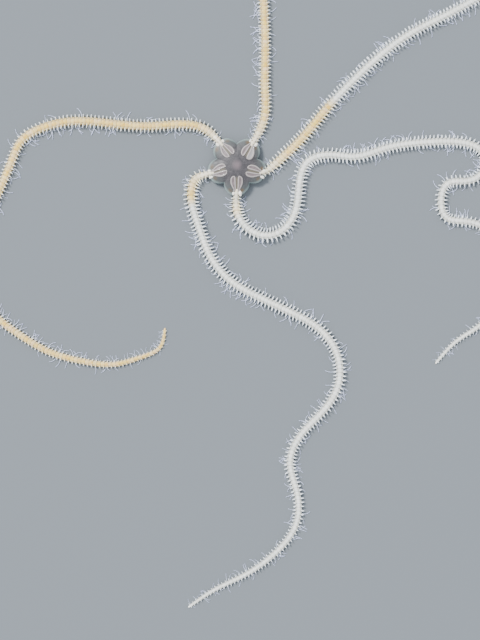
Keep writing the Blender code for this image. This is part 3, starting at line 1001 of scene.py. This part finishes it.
def model_spine():
    """Blunt tapering spine along +Z, 1 long and about 1 in radius."""
    bpy.ops.mesh.primitive_cone_add(vertices=6, radius1=spine_root_radius, radius2=spine_end_radius,
                                    depth=1, location=(0, 0, 0))
    spine = bpy.context.object
    pick_faces(spine, lambda face: True)
    for level in spine_cuts:
        bpy.ops.mesh.select_all(action="SELECT")
        bpy.ops.mesh.bisect(plane_co=(0, 0, level), plane_no=(0, 0, 1))
    bpy.ops.object.mode_set(mode="OBJECT")
    pick_faces(spine, lambda face: face.normal.z > 0.9)
    bpy.ops.mesh.inset(thickness=spine_end_bevel[0], depth=spine_end_bevel[1])
    bpy.ops.object.mode_set(mode="OBJECT")
    shape = take_shape(spine)
    shape["points"][:, 2] += 0.5
    return shape


spine_shape = model_spine()


def stand_up(shape, roots, aims, lengths, radii):
    """Copies of a shape that stands along +Z, set on roots along aims."""
    level = np.cross(aims, [0.0, 0.0, 1.0])
    level /= np.linalg.norm(level, axis=1, keepdims=True)
    upright = np.cross(level, aims)
    x, y, z = shape["points"].T[:, None, :, None]
    lengths, radii = lengths[:, None, None], radii[:, None, None]
    points = roots[:, None] + x * radii * level[:, None] + y * radii * upright[:, None]
    return points + z * lengths * aims[:, None]


def ways_of(line, distance, side):
    """Level ways at places along an arm: straight out to its side, and on to its tip."""
    heading = line.heading(distance)
    flat = np.zeros(len(side))
    across = np.stack([heading[:, 1], -heading[:, 0], flat], axis=1) * side[:, None]
    return across, np.stack([heading[:, 0], heading[:, 1], flat], axis=1)


def patches_of(line, distance, around, marks):
    """A small patch of the unwrap for each copy, on which its own marks lie."""
    return np.clip(unwrap(line, distance, around)[:, None] + patch_side * marks[None], 0, 1)


def set_spines(arm, line):
    joints, pitch = joints_of(line)
    chance = chance_for(arm, spine_seed)
    distances, arounds, turns, sides = [], [], [], []
    for joint in range(joints):
        distance = arm_root + (joint + spine_place) * pitch
        if distance < spine_first:
            continue
        lost = (most_spines - fewest_spines) * min(1.0, spine_loss * distance / line.total)
        count = round(most_spines - lost)
        for side in (-1, 1):
            for i in range(count):
                scatter = chance.uniform(-spine_place_scatter, spine_place_scatter)
                distances.append(distance + scatter * pitch)
                arounds.append(fan_top + (fan_bottom - fan_top) * (i + 0.5) / count)
                turns.append((i + 0.5) / count - 0.5)
                sides.append(side)
    distance, around, side = np.array(distances), np.array(arounds), np.array(sides)
    width = line.width(distance)
    roots = line.wrap(distance, side * around, spine_sunk * np.sin(around * math.pi) ** 2)
    across, forward = ways_of(line, distance, side)
    lift = fan_lift * (0.5 - around) / (0.5 - fan_top) + chance.normal(0, lift_scatter, len(side))
    lift = np.radians(lift)
    sweep = spine_lean - fan_sweep * np.array(turns) + chance.normal(0, sweep_scatter, len(side))
    sweep = np.radians(sweep)[:, None]
    outward = ramp(distance, *shorter_along)
    lengths = np.maximum(spine_reach[arm] * width * (1 - shorter_by * outward), spine_least)
    lengths *= chance.uniform(*spine_lengths, len(side))
    lengths *= root_spine_share + (1 - root_spine_share) * ramp(distance, *root_spines)
    radii = np.maximum(spine_thickness * width, spine_thinnest)
    room_below = (roots[:, 2] - spine_clearance - radii) / lengths
    lift = np.maximum(lift, -np.arcsin(np.clip(room_below, *spine_fall)))
    aims = (across * np.cos(sweep) + forward * np.sin(sweep)) * np.cos(lift)[:, None]
    aims[:, 2] += np.sin(lift)
    points = stand_up(spine_shape, roots, aims, lengths, radii)
    x, y, height = spine_shape["points"].T
    marks = np.stack([height, np.arctan2(y, x) / math.tau + 0.5], axis=1)
    patches = patches_of(line, distance, side * around, marks)
    spines = join_copies(arm + "_spines", spine_shape, points, patches)
    set_mask(spines, "outward", np.broadcast_to(height, points.shape[:2]))
    set_mask(spines, "cream", np.broadcast_to(cream_share(arm, distance)[:, None], points.shape[:2]))
    spines.data.materials.append(spine_finish)
    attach(spines, "root")


for arm, line in arm_lines.items():
    set_spines(arm, line)


# Tube feet: thin, clear, bluish tubes that come out under the spines and curl over
# the floor beyond them, most of them on one side of each arm.
foot_reach = 2.7 * mm
foot_radius = 0.09 * mm
foot_first = 5 * mm
foot_rings = 9
foot_curls = np.linspace(-1.7, 1.9, 5)
foot_taper = 0.45
foot_knobs = 0.22
foot_bend_lateness = 1.5
foot_swing = 0.55
foot_fall = 0.45
# Share of the joints that show a foot, on the left and on the right side
feet_shown = {"arm_1": (0.8, 0.35), "arm_2": (0.45, 0.7), "arm_3": (0.6, 0.6),
              "arm_4": (0.7, 0.55), "arm_5": (0.9, 0.25)}
foot_around = 0.70
foot_depth = 0.06
foot_patch_around = 0.62
foot_sweep = (5, 16)
foot_least = 0.25
foot_lengths = (0.75, 1.15)
foot_end_level = 0.12 * mm
foot_lowest = 0.01 * mm
foot_seed = 40
foot_roughness = 0.25
foot_root_color = (0.74, 0.80, 0.90)
foot_end_color = (0.62, 0.66, 0.92)
foot_clearness = 0.82

foot_finish, tree, shader = new_finish("clear_tube_foot", foot_roughness)
color = blend_colors(tree, mask_of(tree, "outward"), foot_root_color, foot_end_color)
tree.links.new(color, shader.inputs["Base Color"])
shader.inputs["Alpha"].default_value = foot_clearness


def model_foot(curl):
    """Knobbly tube that leaves the root along +Z and curls over towards its own +X, 1 long."""
    bpy.ops.mesh.primitive_cylinder_add(vertices=6, radius=1, depth=1)
    foot = bpy.context.object
    for ring in range(1, foot_rings):
        pick_faces(foot, lambda face: True)
        bpy.ops.mesh.bisect(plane_co=(0, 0, ring / foot_rings - 0.5), plane_no=(0, 0, 1))
        bpy.ops.object.mode_set(mode="OBJECT")
    shape = take_shape(foot)
    x, y, z = shape["points"].T
    along = z + 0.5
    girth = (1 - foot_taper * along) * (1 + foot_knobs * np.cos(along * foot_rings * math.pi))
    bend = curl * along ** foot_bend_lateness
    offset, aside = x * girth * foot_radius / foot_reach, y * girth * foot_radius / foot_reach
    outward = np.sin(bend) * along * foot_swing + offset * np.cos(bend)
    onward = along * np.cos(foot_fall * bend) - offset * np.sin(bend)
    shape["points"] = np.stack([outward, aside, onward], axis=1)
    shape["along"] = along
    return shape


foot_shapes = [model_foot(curl) for curl in foot_curls]


def set_feet(arm, line):
    joints, pitch = joints_of(line, 0)
    chance = chance_for(arm, foot_seed)
    groups = []
    for number, shape in enumerate(foot_shapes):
        chosen = []
        for joint in range(joints):
            distance = (joint + 0.5) * pitch
            if distance < foot_first:
                continue
            for side, share in zip((-1, 1), feet_shown[arm]):
                if chance.random() < share / len(foot_shapes):
                    chosen.append((distance, side))
        distance, side = np.array(chosen).T
        roots = line.wrap(distance, side * foot_around, foot_depth)
        across, forward = ways_of(line, distance, side)
        sweep = np.radians(chance.normal(*foot_sweep, len(side)))[:, None]
        aims = across * np.cos(sweep) + forward * np.sin(sweep)
        size = foot_least + (1 - foot_least) * line.width(distance) / arm_full_width
        lengths = foot_reach * size * chance.uniform(*foot_lengths, len(side))
        points = stand_up(shape, roots, aims, lengths, lengths)
        points[..., 2] -= np.clip(shape["along"], 0, 1)[None, :] * (roots[:, 2:3] - foot_end_level)
        points[..., 2] = np.maximum(points[..., 2], foot_lowest)
        marks = np.stack([shape["along"], np.linspace(0, 1, len(shape["along"]))], axis=1)
        patches = patches_of(line, distance, side * foot_patch_around, marks)
        feet = join_copies(f"{arm}_feet_{number}", shape, points, patches)
        set_mask(feet, "outward", np.broadcast_to(shape["along"], points.shape[:2]))
        groups.append(feet)
    feet = join_pieces(arm + "_tube_feet", groups)
    feet.data.materials.append(foot_finish)
    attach(feet, "root")


for arm, line in arm_lines.items():
    set_feet(arm, line)


# Tentacle pores: each tube foot leaves the arm through a small pore between
# the flank plate and the plate under the arm, shown as a flat dark ball of painted shade.
pore_around = 0.745
pore_radius = 0.075
pore_place = 0.55
pore_flatness = 0.35
pore_depths = (0.02, 0.10)
pore_roughness = 0.6
pore_shade_color = (0.050, 0.040, 0.028, 1)

pore_shade_finish, tree, shader = new_finish("painted_pore_shade", pore_roughness)
shader.inputs["Base Color"].default_value = pore_shade_color
bpy.ops.mesh.primitive_uv_sphere_add(segments=10, ring_count=6, radius=1)
pore_shape = take_shape(bpy.context.object)
pore_shape["points"][:, 2] *= pore_flatness
for arm, line in arm_lines.items():
    joints, pitch = joints_of(line)
    distance = np.repeat(arm_root + (np.arange(1, joints - 2) + pore_place) * pitch, 2)
    side = np.tile([-1.0, 1.0], len(distance) // 2)
    roots, inner = (line.wrap(distance, side * pore_around, depth) for depth in pore_depths)
    aims = (roots - inner) / np.linalg.norm(roots - inner, axis=1, keepdims=True)
    radii = pore_radius * line.width(distance)
    points = stand_up(pore_shape, roots, aims, radii, radii)
    patches = patches_of(line, distance, side * pore_around, pore_shape["points"][:, :2])
    pores = join_copies(arm + "_pores", pore_shape, points, patches)
    pores.data.materials.append(pore_shade_finish)
    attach(pores, "root")


# Mouth: five jaws meet in a closed star under the disc. Each is a pair of half
# jaws with blunt papillae, and behind it lie two side plates and an oral shield.
# All are plates of calcite, yellow near the middle, that bed in a cushion of skin; the middle of the mouth
# and the tentacle pores are painted dark as shade.
jaw_bearing = 36
mouth_reach = 2.42 * mm
cushion_level = 0.78 * mm
cushion_height = 0.42 * mm
plate_foot = 0.80 * mm
mouth_plate_points = 20
mouth_plate_rounding = 1
# Corners of each plate in millimetres out from the mouth and aside of the jaw's line
half_jaw_corners = ((0.05, 0.02), (0.16, 0.12), (0.78, 0.50), (1.20, 0.80), (1.52, 0.72),
                    (1.46, 0.32), (1.42, 0.03))
side_plate_corners = ((1.46, 0.04), (1.52, 0.42), (1.44, 0.92), (1.74, 1.20), (2.12, 1.10),
                      (2.16, 0.70), (1.84, 0.46), (1.72, 0.04))
oral_shield_corners = ((1.62, 0.0), (1.86, 0.46), (2.20, 0.68), (2.56, 0.52), (2.74, 0.16),
                       (2.74, -0.16), (2.56, -0.52), (2.20, -0.68), (1.86, -0.46))
mouth_steps = ((0, 0), (0, 0.58), (0.03, 0.68), (0.09, 0.74), (0.18, 0.77))
# Papillae: how far out and aside each is, its radius, and the level of all, in millimetres
papilla_sites = ((0.14, 0.08, 0.11), (0.42, 0.27, 0.10), (0.70, 0.46, 0.10), (0.98, 0.65, 0.11))
papilla_level = 0.19
papilla_form = (1.0, 0.85, 1.5)
tentacle_pore_site = (1.30 * mm, 0, 0.33 * mm)
tentacle_pore_radius = 0.17 * mm
tentacle_pore_form = (1.2, 0.9, 0.5)
yellow_reach = (2.34 * mm, 1.44 * mm)
# Painted shade: the middle of the mouth and the tentacle pores are coloured nearly black
pit_shade_reach = (1.2 * mm, 0.4 * mm)
mouth_roughness = 0.4
mouth_grain = (1800, 8000, 0.000014)
jaw_dark = (0.66, 0.54, 0.34)
jaw_light = (0.84, 0.74, 0.54)
yellow_dark = (0.62, 0.40, 0.07)
yellow_light = (0.80, 0.58, 0.14)
pit_shade_color = (0.045, 0.030, 0.018)

mouth_finish, tree, shader = new_finish("jaw_calcite", mouth_roughness)
grain = add_grain(tree, *mouth_grain)
yellow = mottled(tree, grain, yellow_dark, yellow_light)
color = mottled(tree, grain, jaw_dark, jaw_light)
put_looks(tree, shader, add_tinges(tree, color, {"yellow": yellow, "painted_pit_shade": pit_shade_color}), grain)


def set_in_mouth(piece, degrees):
    """Turn a piece that lies along +X to a bearing round the mouth, and mark how near the middle it is."""
    points = points_of(piece)
    away = np.hypot(points[:, 0], points[:, 1])
    points[:, 0], points[:, 1] = turned(points[:, 0], points[:, 1], math.radians(degrees))
    put_points(piece, points)
    set_mask(piece, "yellow", ramp(away, *yellow_reach))
    mouth_pieces.append(piece)


def mouth_slab(corners, side):
    """A plate that hangs face down under the mouth, on one side of a jaw's line or the other."""
    slab = model_slab(corners, mouth_steps, mouth_plate_points)
    points = points_of(slab) * mm
    points[:, 1] *= side
    points[:, 2] = plate_foot - points[:, 2]
    put_points(slab, points)
    if side > 0:
        slab.data.flip_normals()
    round_off(slab, mouth_plate_rounding)
    return slab


mouth_pieces = []
bpy.ops.mesh.primitive_uv_sphere_add(segments=60, ring_count=24, radius=1)
cushion = bpy.context.object
points = points_of(cushion) * np.array([mouth_reach, mouth_reach, cushion_height])
points[:, 2] += cushion_level
put_points(cushion, points)
set_mask(cushion, "painted_pit_shade", ramp(np.hypot(points[:, 0], points[:, 1]), *pit_shade_reach))
set_in_mouth(cushion, 0)
for degrees in arm_bearings.values():
    for side in (-1, 1):
        set_in_mouth(mouth_slab(half_jaw_corners, side), degrees + jaw_bearing)
        set_in_mouth(mouth_slab(side_plate_corners, side), degrees + jaw_bearing)
        for out, aside, radius in papilla_sites:
            bpy.ops.mesh.primitive_ico_sphere_add(subdivisions=2, radius=radius * mm)
            papilla = bpy.context.object
            place = np.array([out, side * aside, papilla_level]) * mm
            put_points(papilla, points_of(papilla) * np.array(papilla_form) + place)
            set_in_mouth(papilla, degrees + jaw_bearing)
    set_in_mouth(mouth_slab(oral_shield_corners, 1), degrees + jaw_bearing)
    # A dark ball at each tentacle pore is painted shade of its opening
    bpy.ops.mesh.primitive_uv_sphere_add(segments=16, ring_count=8, radius=tentacle_pore_radius)
    pore = bpy.context.object
    put_points(pore, points_of(pore) * np.array(tentacle_pore_form) + np.array(tentacle_pore_site))
    set_mask(pore, "painted_pit_shade", np.ones(len(pore.data.vertices)))
    set_in_mouth(pore, degrees)
mouth_plates = join_pieces("mouth_plates", mouth_pieces)
bpy.ops.object.shade_smooth()
mouth_plates.data.materials.append(mouth_finish)
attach(mouth_plates, "root")
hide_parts("mouth_frame")
